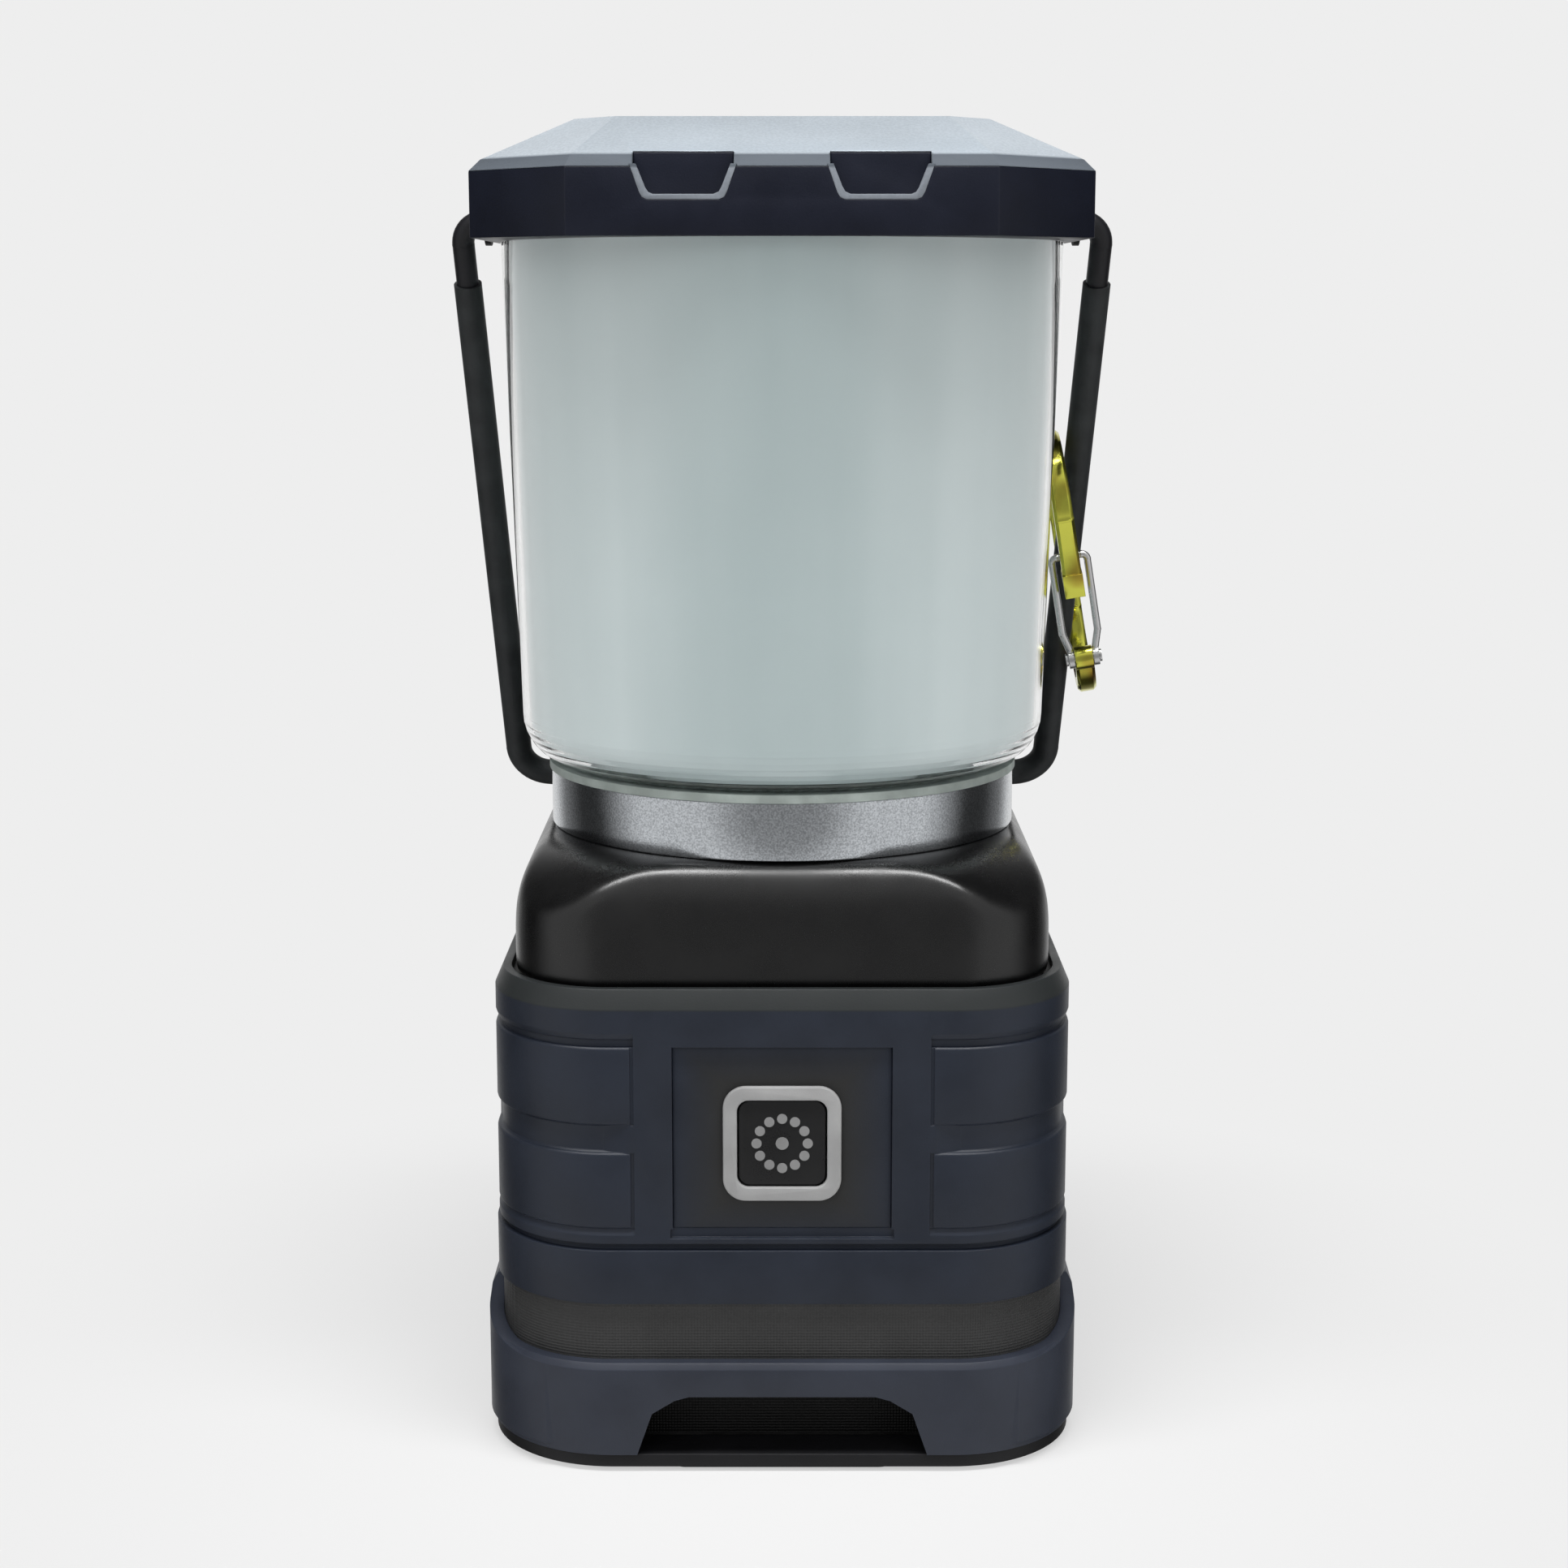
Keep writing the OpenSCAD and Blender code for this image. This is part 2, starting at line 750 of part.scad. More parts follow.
// Points of a shade wall from its bottom hole up, for a wall set in from the globe's outside
function shade_wall(inset, low, high) = let (
        r_low = globe_low_r - inset, r_top = globe_top_r - inset, bend = globe_bend - inset)
    concat([[ring_bore, low]], [for (a = [-90:10:0]) [r_low - bend + bend*cos(a), low + bend + bend*sin(a)]],
        [[r_top, high]]);

module shade_shell(inset, wall, low, high) {
    inner = shade_wall(inset + wall, low + wall, high);
    rotate_extrude() polygon(concat(shade_wall(inset, low, high),
        [for (i = [len(inner) - 1:-1:0]) inner[i]]));
}

module globe() { color([0.8, 0.9, 0.88, 0.4]) shade_shell(0, globe_wall, neck_top, globe_top); }

module diffuser() {
    color([0.85, 0.9, 0.9]) shade_shell(globe_wall + diffuser_gap, diffuser_wall, neck_top + globe_wall,
        globe_top);
}

// ---------- cap ----------

// One notch outline, grown by a margin, open at the top
module notch_outline(grow) {
    low = notch_low - grow;
    half = notch_low_half + grow;
    wide = notch_top_half + grow + 0.6;
    polygon([[-half + 1, low], [half - 1, low], [half - 0.2, low + 0.35], [half + 0.25, low + 1.1],
        [wide, cap_top + 4], [-wide, cap_top + 4], [-half - 0.25, low + 1.1], [0.2 - half, low + 0.35]]);
}

module notches(grow, depth) {
    for (turn = [0, 180], x = [-notch_x, notch_x]) rotate(turn) translate([x, 0])
        front_slab(cap_half + 1, cap_half - depth) notch_outline(grow);
}

module cap_body() {
    color([0.1, 0.11, 0.16]) {
        difference() {
            octagon([cap_half, cap_half], [cap_corner, cap_corner], [globe_top, cap_top]);
            difference() {
                octagon([cave_x, cave_x], [cave_corner, cave_corner], [globe_top - 1, deck_z]);
                for (y = [cave_y, -body_w]) translate([-body_w, y, 0])
                    cube([2*body_w, body_w - cave_y, 2*cap_top]);
                difference() {
                    disc(body_w, globe_top - 2, globe_top + lip_h);
                    disc(lip_r, globe_top - 3, globe_top + lip_h + 1);
                }
            }
            notches(notch_lip, notch_depth);
            translate([0, 0, pivot_z]) {
                for (m = [0, 1]) mirror([m, 0]) across(bush_r, cave_x - 1.3, cap_half + 10);
                across(bush_r + 1.1, -cave_x, cave_x);
            }
            four(cap_screw) {
                disc(cap_shank + 0.1, deck_z - 1, cap_top + 1);
                disc(cap_head + 0.1, cap_top - cap_head_h, cap_top + 1);
            }
        }
        for (turn = [0, 180], x = [-notch_x, notch_x]) rotate(turn) translate([x, 0])
            box([-tab_half, notch_depth - cap_half, cap_top],
                [tab_half, notch_depth + tab - cap_half, cap_top + tab_h]);
    }
}

module cap_screws() {
    color(silver) four(cap_screw) {
        disc(cap_head, cap_top - cap_head_h, cap_top);
        disc(cap_shank, deck_z - 5.3, cap_top - cap_head_h);
    }
}

module top_plate() {
    color([0.72, 0.76, 0.78]) {
        difference() {
            octagon([cap_half, strip_half, roof_half], [cap_corner, strip_corner, roof_corner],
                [cap_top, cap_top + strip_h, roof_top]);
            octagon([cap_half - roof_wall, cap_half - roof_wall, roof_half],
                [cap_corner - roof_wall, cap_corner - roof_wall, roof_corner - 0.7],
                [cap_top - 1, cap_top + 0.9, roof_top - 1.9]);
            notches(0, notch_depth);
            for (turn = [0, 180], x = [-notch_x, notch_x]) rotate(turn) translate([x, 0])
                box([-tab_half - 0.1, -body_w, cap_top - 1],
                    [tab_half + 0.1, notch_depth + tab - cap_half, cap_top + tab_h + 0.1]);
        }
        intersection() {
            difference() {
                notches(notch_lip, notch_depth);
                notches(0, notch_depth + 1);
            }
            box([-cap_half, -cap_half, globe_top], [cap_half, cap_half, cap_top + 0.4]);
        }
    }
}

// ---------- bail ----------

module bail_bushes() {
    color(black) for (m = [0, 1]) mirror([m, 0]) translate([0, 0, pivot_z]) difference() {
        union() {
            across(bush_r, cave_x, cap_half);
            across(bush_r + 1, cap_half, bush_x);
        }
        across(wire_r + fit, cave_x - 1, bush_x + 1);
    }
}

// A round bend in the XZ plane, cut a little short of its ends, where beads join it to what follows
module bend_rod(centre, bend, a0, a1, r) {
    short = 6/bend;
    translate([centre[0], 0, centre[1]]) rotate([90, 0, 0]) {
        rotate(a0 + short) rotate_extrude(angle = a1 - a0 - 2*short) translate([bend, 0]) circle(r);
        for (a = [a0, a1]) rotate(a) translate([bend, 0]) sphere(r + bead);
    }
}

// The bail's arms below a start point, its corners and its bar, in the bail's own frame
module bail_run(r, start) {
    slope = [sin(arm_tilt), cos(arm_tilt)];
    for (m = [0, 1]) mirror([m, 0]) {
        translate([arm_top_x - start*slope[0], 0, -start*slope[1]]) rotate([0, 180 + arm_tilt, 0])
            cylinder(r = r, h = bail_len/slope[1] - low_run - start - joint_gap);
        bend_rod([arm_low_x - low_run, low_bend - bail_len], low_bend, -90, -arm_tilt, r);
    }
    translate([0, 0, -bail_len])
        across(r, low_run + joint_gap - arm_low_x, arm_low_x - low_run - joint_gap);
}

module in_bail() { translate([0, 0, pivot_z]) rotate([bail_lean, 0, 0]) children(); }

module bail_wire() {
    color([0.12, 0.12, 0.13]) in_bail() {
        bail_run(wire_r, top_run + joint_gap);
        for (m = [0, 1]) mirror([m, 0]) {
            across(wire_r, stub_x, arm_top_x - top_run - joint_gap);
            bend_rod([arm_top_x - top_run, -top_bend], top_bend, -arm_tilt, 90, wire_r);
        }
    }
}

module bail_sleeve() {
    color(black) in_bail() difference() {
        bail_run(sleeve_r, sleeve_start);
        bail_run(wire_r, sleeve_start - 2);
    }
}

module bail_clips() {
    color(silver) in_bail() for (m = [0, 1]) mirror([m, 0]) difference() {
        across(wire_r + 1.1, cave_x - 1.7, cave_x - 0.9);
        across(wire_r, cave_x - 3, cave_x);
    }
}

// ---------- carabiner ----------

module in_hook() {
    in_bail() translate([arm_top_x - hook_place*sin(arm_tilt), 0, -hook_place*cos(arm_tilt)])
        rotate([hook_turn - bail_lean, 0, 0]) rotate([0, -hook_tilt, 0]) translate([0, -hook_shift, 0])
            children();
}

// The carabiner's bar in section: flat sides with cut corners, X across the loop
module bar_section(grow = 0) {
    half = bar_half + grow;
    deep = rod + grow;
    polygon([for (m = [1, -1]) each [[m*half, m*(bar_cut - deep)], [m*half, m*(deep - bar_cut)],
        [m*(half - bar_cut), m*deep], [m*(bar_cut - half), m*deep]]]);
}

module loop_bend(z, a0, a1) {
    short = 6/loop_y;
    translate([0, 0, z]) rotate([90, 0, 90]) rotate(a0 + short) rotate_extrude(angle = a1 - a0 - 2*short)
        translate([loop_y, 0]) rotate(90) bar_section();
}

// A straight length of the bar, with a collar that joins it to a bend at its ends
module hook_rod(y, z0, z1) {
    translate([0, y, z0 + joint_gap]) linear_extrude(z1 - z0 - 2*joint_gap) bar_section();
    for (z = [z0, z1]) translate([0, y, z - 2*joint_gap]) linear_extrude(4*joint_gap) bar_section(bead);
}

module carabiner_body() {
    color([0.72, 0.55, 0.28]) in_hook() difference() {
        union() {
            loop_bend(loop_z, 0, 180);
            loop_bend(-loop_z, -171, 0);
            hook_rod(loop_y, -loop_z, loop_z);
            hook_rod(-loop_y, nose_z + 1, loop_z);
            box([-nose_half, -loop_y - 2, nose_z], [nose_half, 1.4 - loop_y, nose_z + nose_h]);
            translate([0, gate_y, gate_z]) across(hinge_r, -hinge_half, hinge_half);
        }
        translate([0, gate_y, gate_z]) across(pin_r, -9, 9);
    }
}

module gate_rivet() {
    color(silver) in_hook() translate([0, gate_y, gate_z]) {
        across(pin_r, -3.1, 3.1);
        for (m = [0, 1]) mirror([m, 0]) across(rivet_head_r, eye_x + 0.6, eye_x + 1);
    }
}

// A leg of the gate from one [x, z] to another
module leg(x0, z0, x1, z1) {
    run = norm([x1 - x0, z1 - z0]);
    translate([x0, 0, z0]) rotate([0, atan((x1 - x0)/(z1 - z0)), 0])
        cylinder(r = gate_r, h = run - joint_gap);
}

module gate_wire() {
    reach = gate_end - [gate_y, gate_z];
    tip = norm(reach);
    color(silver) in_hook() translate([0, gate_y, gate_z]) {
        rotate([-atan(reach[0]/reach[1]), 0, 0]) {
            for (m = [0, 1]) mirror([m, 0]) {
                leg(eye_x, 1.5, gate_x, 5);
                translate([gate_x, 0, 5]) sphere(gate_r + bead);
                translate([gate_x, 0, 5 + joint_gap]) cylinder(r = gate_r, h = tip - 6 - 2*joint_gap);
                bend_rod([gate_x - 1, tip - 1], 1, 0, 90, gate_r);
            }
            translate([0, 0, tip]) across(gate_r, 1 + joint_gap - gate_x, gate_x - 1 - joint_gap);
        }
        for (m = [0, 1]) mirror([m, 0]) difference() {
            across(1.7, eye_x - 0.5, eye_x + 0.5);
            across(pin_r + 0.05, 0, 9);
        }
    }
}

foot_pads();
base_plate();
base_screws();
base_door();
door_seal();
door_screw();
cell_springs();
base_bumper();
lower_housing();
battery_tray();
cell_1();
cell_2();
cell_3();
cell_4();
top_contacts();
battery_leads();
grip_sleeve();
switch_panel();
button_ring();
button_cap();
button_icon();
button_spring();
switch_board();
tact_switch();
upper_housing();
driver_board();
board_screws();
housing_screws();
led_leads();
neck_ring();
shade_seal();
led_plate();
light_column();
led_boards();
led_chips();
cap_reflector();
diffuser();
globe();
cap_body();
cap_screws();
top_plate();
bail_bushes();
bail_wire();
bail_sleeve();
bail_clips();
carabiner_body();
gate_wire();
gate_rivet();
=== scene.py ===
"""Camping lantern: the finish of every surface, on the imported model."""
import json
import math

import bmesh
import bpy
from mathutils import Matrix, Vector


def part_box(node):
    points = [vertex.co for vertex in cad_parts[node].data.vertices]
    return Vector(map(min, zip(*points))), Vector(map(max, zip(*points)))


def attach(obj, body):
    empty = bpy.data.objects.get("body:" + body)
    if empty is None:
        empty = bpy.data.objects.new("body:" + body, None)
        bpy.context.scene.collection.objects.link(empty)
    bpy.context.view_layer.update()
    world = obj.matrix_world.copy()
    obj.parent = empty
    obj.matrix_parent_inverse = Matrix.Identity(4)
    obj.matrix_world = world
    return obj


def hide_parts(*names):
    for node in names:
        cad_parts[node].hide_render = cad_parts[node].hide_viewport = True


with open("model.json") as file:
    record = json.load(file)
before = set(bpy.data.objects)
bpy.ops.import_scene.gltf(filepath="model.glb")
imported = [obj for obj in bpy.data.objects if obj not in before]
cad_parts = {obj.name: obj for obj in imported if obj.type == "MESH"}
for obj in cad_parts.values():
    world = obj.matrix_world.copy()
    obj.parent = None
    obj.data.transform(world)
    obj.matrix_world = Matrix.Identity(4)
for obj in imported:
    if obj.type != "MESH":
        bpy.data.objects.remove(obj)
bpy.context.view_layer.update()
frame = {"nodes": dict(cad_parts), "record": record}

MM = 0.001
NODES = frame["nodes"]
RECORD = frame["record"]
BODIES = RECORD["behaviour"]["bodies"]
BODY_OF = {node: body for body, nodes in BODIES.items() for node in nodes}
SLOT_OF = {part["node"]: part["material_slot"] for part in RECORD["subparts"]}


def placed(name, data):
    """Puts an object in the scene, at its origin."""
    made = bpy.data.objects.new(name, data)
    bpy.context.scene.collection.objects.link(made)
    return made


def mesh_of(work, name):
    """Turns a bmesh into a mesh and frees it."""
    mesh = bpy.data.meshes.new(name)
    work.to_mesh(mesh)
    work.free()
    return mesh


# ---------- camera and lamps ----------

IMAGE = 1932
SENSOR = 36
FOCAL_PX = 3300
CAMERA_PLACE = (0.0003, -0.464, 0.1908)
CAMERA_TILT = 10.3                    # degrees, downwards

LANTERN_MIDDLE = (0, 0, 0.12)
# place, target, width and height in metres, and watts
LAMPS = {
    "key": ((-0.4, -0.95, 0.75), LANTERN_MIDDLE, (0.7, 0.5), 4),
    "fill": ((0.55, -0.9, 0.35), LANTERN_MIDDLE, (0.5, 0.8), 2.6),
    "top": ((0, -0.22, 0.95), (0, -0.04, 0.1), (0.9, 0.16), 10),
}
MIRRORED_LAMP = "top"


def make_camera():
    lens = bpy.data.cameras.new("view")
    lens.sensor_width = SENSOR
    lens.lens = SENSOR * FOCAL_PX / IMAGE
    camera = placed("view", lens)
    camera.location = CAMERA_PLACE
    camera.rotation_euler = (math.radians(90 - CAMERA_TILT), 0, 0)
    bpy.context.scene.camera = camera


def make_lamp(name, place, target, size, power):
    """A soft box that the clear globe doesn't show, nor glossy surfaces unless it is mirrored."""
    lamp = bpy.data.lights.new(name, "AREA")
    lamp.shape = "RECTANGLE"
    lamp.size, lamp.size_y = size
    lamp.energy = power
    holder = placed(name, lamp)
    holder.visible_glossy = name == MIRRORED_LAMP
    holder.visible_transmission = False
    holder.location = place
    holder.rotation_euler = (Vector(target) - Vector(place)).to_track_quat("-Z", "Y").to_euler()


# ---------- shader maths ----------

NOISE_RANGE = (0.3, 0.7)              # where nearly all of a noise lies
RUBBED = 0.85                         # cosine of how far a rounded edge turns from its face
UNTOUCHED = 0.995


class Value:
    """A socket of one shading tree, with the operators that shader maths needs."""

    def __init__(self, shading, socket):
        self.shading = shading
        self.socket = socket

    def maths(self, operation, *values):
        return self.shading.node("Math", {"operation": operation}, self, *values)

    def __add__(self, other):
        return self.maths("ADD", other)

    def __sub__(self, other):
        return self.maths("SUBTRACT", other)

    def __rsub__(self, other):
        return self.maths("MULTIPLY", -1).maths("ADD", other)

    def __mul__(self, other):
        return self.maths("MULTIPLY", other)

    def __abs__(self):
        return self.maths("ABSOLUTE")

    __radd__ = __add__
    __rmul__ = __mul__

    def between(self, low, high, to_low=0.0, to_high=1.0):
        """The value's way from low to high, held at its ends and spread over a new range."""
        return self.shading.node("MapRange", {"clamp": True}, self, low, high, to_low, to_high)

    def spread(self, to_low=0.0, to_high=1.0):
        """A noise spread over a new range."""
        return self.between(*NOISE_RANGE, to_low, to_high)


class Shading:
    """A shading tree, with one method for every kind of node."""

    def __init__(self, tree):
        self.tree = tree

    def plug(self, socket, value):
        if isinstance(value, Value):
            self.tree.links.new(value.socket, socket)
        elif value is not None:
            if socket.type == "RGBA" and len(value) == 3:
                value = (*value, 1)
            socket.default_value = value

    def node(self, kind, settings, *values, out=0, **named):
        """Adds a node: its settings first, then the values or links of its sockets."""
        made = self.tree.nodes.new("ShaderNode" + kind)
        stops = settings.pop("stops", ())
        for name, value in settings.items():
            setattr(made, name, value)
        for index, (place, colour) in enumerate(stops):
            ramp = made.color_ramp.elements
            stop = ramp[index] if index < 2 else ramp.new(place)
            stop.position = place
            stop.color = (*colour, 1)
        for index, value in enumerate(values):
            self.plug(made.inputs[index], value)
        for name, value in named.items():
            self.plug(made.inputs[name.replace("_", " ")], value)
        return Value(self, made.outputs[out])

    def outputs(self, value):
        """Every output of the node behind a value, by name."""
        return {socket.name: Value(self, socket) for socket in value.socket.node.outputs}

    def parts(self, vector):
        """The three numbers of a vector."""
        return list(self.outputs(self.node("SeparateXYZ", {}, vector)).values())

    def blend_colours(self, share, low, high):
        """Two colours mixed by a share."""
        not_colours = [None] * 5
        return self.node("Mix", {"data_type": "RGBA"}, share, *not_colours, low, high, out=2)

    def seen_rays(self):
        """1 for rays from the camera, straight or through the globe, and 0 for the others."""
        rays = self.outputs(self.node("LightPath", {}))
        return rays["Is Camera Ray"].maths("MAXIMUM", rays["Is Transmission Ray"])


class Finish(Shading):
    """A material and the nodes behind its shader."""

    def __init__(self, name, **sockets):
        self.material = bpy.data.materials.new(name)
        self.material.use_nodes = True
        super().__init__(self.material.node_tree)
        self.shader = self.tree.nodes["Principled BSDF"]
        self.place = self.node("TexCoord", {}, out="Object")
        self.set(**sockets)

    def set(self, **sockets):
        for name, value in sockets.items():
            self.plug(self.shader.inputs[name.replace("_", " ")], value)

    def noise(self, size, detail, stretch=(1, 1, 1)):
        """Noise whose features are about the given size, in metres."""
        place = self.node("Mapping", {}, self.place, Scale=stretch)
        return self.node("TexNoise", {}, Vector=place, Scale=1 / size, Detail=detail)

    def slanting_waves(self, pitch):
        """Two sets of waves that cross each other at a slant."""
        x, y, z = self.parts(self.place)
        turn = 2 * math.pi / pitch
        return ((x + y + z) * turn).maths("SINE") * ((x + y - z) * turn).maths("SINE")

    def bump(self, height, depth, normal=None):
        return self.node("Bump", {}, Height=height, Distance=depth, Normal=normal)

    def rounded(self, radius):
        """A normal that rounds the edges of a mesh by a radius."""
        return self.node("Bevel", {"samples": 4}, Radius=radius)

    def worn_edges(self, rounded):
        """1 along the edges that a rounded normal turns, 0 on the faces between them."""
        flat = self.node("NewGeometry", {}, out="Normal")
        turn = self.node("VectorMath", {"operation": "DOT_PRODUCT"}, rounded, flat, out="Value")
        return turn.between(RUBBED, UNTOUCHED, 1, 0)


def toned(colour, factor, lift=0.0):
    """A colour made darker or lighter."""
    return tuple(min(1, channel * factor + lift) for channel in colour)


# ---------- finishes ----------

WEAVE_RELIEF = 0.6                    # height of the weave, where the grain's is 1
WEAR = 0.3                            # how much of the rubbed colour shows at an edge
ROUGH_DRIFT = 0.05                    # how much a skin's roughness drifts with its clouds
GRAIN_GLINT = 0.12                    # and from grain to grain
SEAM_BLUR = 0.3 * MM                  # between two colours that meet on one piece
STRIP_BLUR = 0.2 * MM

ROOF_H = 8.4 * MM
STRIP_H = 2 * MM
ROOF_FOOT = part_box("top_plate")[1][2] - ROOF_H
STRIP_TOP = ROOF_FOOT + STRIP_H
FLAKE_GREY = (0.12, 0.14, 0.16)

BUMPER_TOP = 19 * MM
RIM_H = 3.1 * MM
SLEEVE_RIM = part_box("grip_sleeve")[1][2] - RIM_H


def moulded(name, colour, shine=0.3, rough=0.42, grain=0.25 * MM, depth=0.02 * MM,
            edge=0.25 * MM, mottle=0.12, second=None, weave=None):
    """Moulded plastic: a fine spark-eroded grain, faint clouds in its colour and rubbed edges.

    second gives another colour and the share of it at each point; weave presses a slanting
    pattern of the given pitch into the skin."""
    made = Finish(name, Specular_IOR_Level=shine)
    clouds = made.noise(9 * MM, 4)
    grains = made.noise(grain, 3)
    dark, light = toned(colour, 1 - mottle), toned(colour, 1 + mottle)
    tone = made.blend_colours(clouds.spread(), dark, light)
    if second:
        other_colour, share = second
        tone = made.blend_colours(share(made), tone, other_colour)
    relief = grains
    if weave:
        relief = grains + made.slanting_waves(weave) * WEAVE_RELIEF
    normal = None
    if edge:
        normal = made.rounded(edge)
        worn = made.worn_edges(normal) * clouds.between(0.35, 0.6, 0.3, 1)
        tone = made.blend_colours(worn * WEAR, tone, toned(colour, 2.2, 0.006))
    made.set(
        Base_Color=tone,
        Roughness=clouds.spread(rough - ROUGH_DRIFT, rough + ROUGH_DRIFT)
        + (grains - 0.5) * GRAIN_GLINT,
        Normal=made.bump(relief, depth, normal),
    )
    return made.material


def metal(name, colour, rough, depth=0.01 * MM, stain=None):
    """Bare or plated metal, with fine grain, faint clouds and spots of the given tarnish."""
    made = Finish(name, Metallic=1.0)
    clouds = made.noise(6 * MM, 4)
    grains = made.noise(0.3 * MM, 3)
    tone = made.blend_colours(clouds.between(0.35, 0.7), toned(colour, 0.9), colour)
    if stain:
        spots = made.noise(12 * MM, 3)
        tone = made.blend_colours(spots.between(0.5, 0.66), tone, stain)
    made.set(
        Base_Color=tone,
        Roughness=clouds.spread(rough - 0.06, rough + 0.06),
        Normal=made.bump(grains, depth, made.rounded(0.15 * MM)),
    )
    return made.material


def rubber(name, colour, rough=0.6):
    """Rubber: a dull skin with fine pimples, and dust that dulls it in clouds."""
    made = Finish(name, Specular_IOR_Level=0.4)
    clouds = made.noise(5 * MM, 5)
    pimples = made.noise(0.35 * MM, 2)
    made.set(
        Base_Color=made.blend_colours(clouds.between(0.4, 0.75), colour, toned(colour, 1.5, 0.01)),
        Roughness=clouds.spread(rough - 0.08, rough + 0.06),
        Normal=made.bump(pimples, 0.04 * MM, made.rounded(0.2 * MM)),
    )
    return made.material


def speckled_silver(name, colour, strip_painted_shade, outline_painted_light):
    """The roof's silver coat: flakes in a satin lacquer.

    Its strip at the foot is painted darker, as painted shade on the steep front slope, and the
    outlines of the notches below are painted a plain lighter grey, as painted light on their upward
    ledges."""
    made = Finish(name, Coat_Roughness=0.3)
    flakes = made.noise(0.45 * MM, 3)
    clouds = made.noise(14 * MM, 3)
    z = made.parts(made.place)[2]
    strip = z.between(ROOF_FOOT - SEAM_BLUR, ROOF_FOOT)
    roof = z.between(STRIP_TOP - STRIP_BLUR, STRIP_TOP + STRIP_BLUR)
    # painted shade on the strip and painted light on the notch outlines, under the roof's own
    # silver
    coat = made.blend_colours(strip, outline_painted_light, strip_painted_shade)
    coat = made.blend_colours(roof, coat, colour)
    tone = flakes.between(0.36, 0.64) * 0.6 + clouds.spread() * 0.4
    made.set(
        Base_Color=made.blend_colours(tone * 0.3, coat, FLAKE_GREY),
        Metallic=roof * 0.35,
        Coat_Weight=roof * 0.2,
        Roughness=flakes.spread(0.36, 0.52) + (1 - roof) * 0.35,
        Normal=made.bump(flakes, 0.02 * MM, made.rounded(0.3 * MM)),
    )
    return made.material


def sparkling_ring(name, colour):
    """The neck ring: blasted metal whose grains sparkle."""
    made = Finish(name, Metallic=1.0)
    grains = made.noise(0.3 * MM, 2)
    clouds = made.noise(8 * MM, 3)
    made.set(
        Base_Color=made.blend_colours(grains.between(0.35, 0.65), toned(colour, 0.6), colour),
        Roughness=clouds.spread(0.15, 0.2),
        Normal=made.bump(grains, 0.008 * MM, made.rounded(0.3 * MM)),
    )
    return made.material


def clear_globe(name, colour):
    """Clear polycarbonate, faintly smeared."""
    made = Finish(name, Transmission_Weight=1.0, IOR=1.2, Coat_Weight=0.8, Coat_Roughness=0.05,
                  Base_Color=colour)
    smears = made.noise(16 * MM, 4)
    made.set(Roughness=smears.between(0.4, 0.75, 0.02, 0.06))
    return made.material


def opal(name, colour, side_light_colour):
    """The milky diffuser: darker and greener in the middle of its front and back, lighter and bluer
    towards its left and right sides as painted light, with painted streak reflections and painted
    shade under the cap.
    """
    made = Finish(name, Specular_IOR_Level=0.0)
    x, _, z = made.parts(made.place)
    low, high = (corner[2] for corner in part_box("diffuser"))
    middle_half, side_from = 8 * MM, 40 * MM
    shade_foot = low + 0.35 * (high - low)
    clouds = made.noise(30 * MM, 2)
    # painted reflections of soft boxes: faint vertical streaks that lighten the diffuser's colour
    painted_streaks = made.noise(11 * MM, 2, stretch=(1, 1, 0.04)).between(0.35, 0.65)
    # painted light: the colour turns lighter and bluer from the middle out to the left and right
    # sides, with painted streaks and random clouds of tone
    side = abs(x).between(middle_half, side_from) * 0.9 + painted_streaks * 0.15 + (clouds - 0.5) * 0.3
    tone = made.blend_colours(side, colour, side_light_colour)
    shade = z.between(shade_foot, high, 0, 0.3)
    made.set(
        Base_Color=made.blend_colours(shade, tone, toned(colour, 0.55)),
        Roughness=clouds.spread(0.3, 0.4),
    )
    return made.material


def around_button(made):
    """A share that is 1 at the switch button and fades to 0 towards the edge of its panel."""
    low, high = (corner[2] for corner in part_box("button_ring"))
    ring_half, panel_half = 10 * MM, 17 * MM
    x, _, z = made.parts(made.place)
    away = abs(x).maths("MAXIMUM", abs(z - (low + high) / 2))
    return away.between(ring_half, panel_half, 1, 0)


def above(height):
    """A share that is 1 above a height and 0 below it."""
    return lambda made: made.parts(made.place)[2].between(height - SEAM_BLUR, height)


def below(height):
    """A share that is 1 below a height and 0 above it."""
    return lambda made: 1 - above(height)(made)


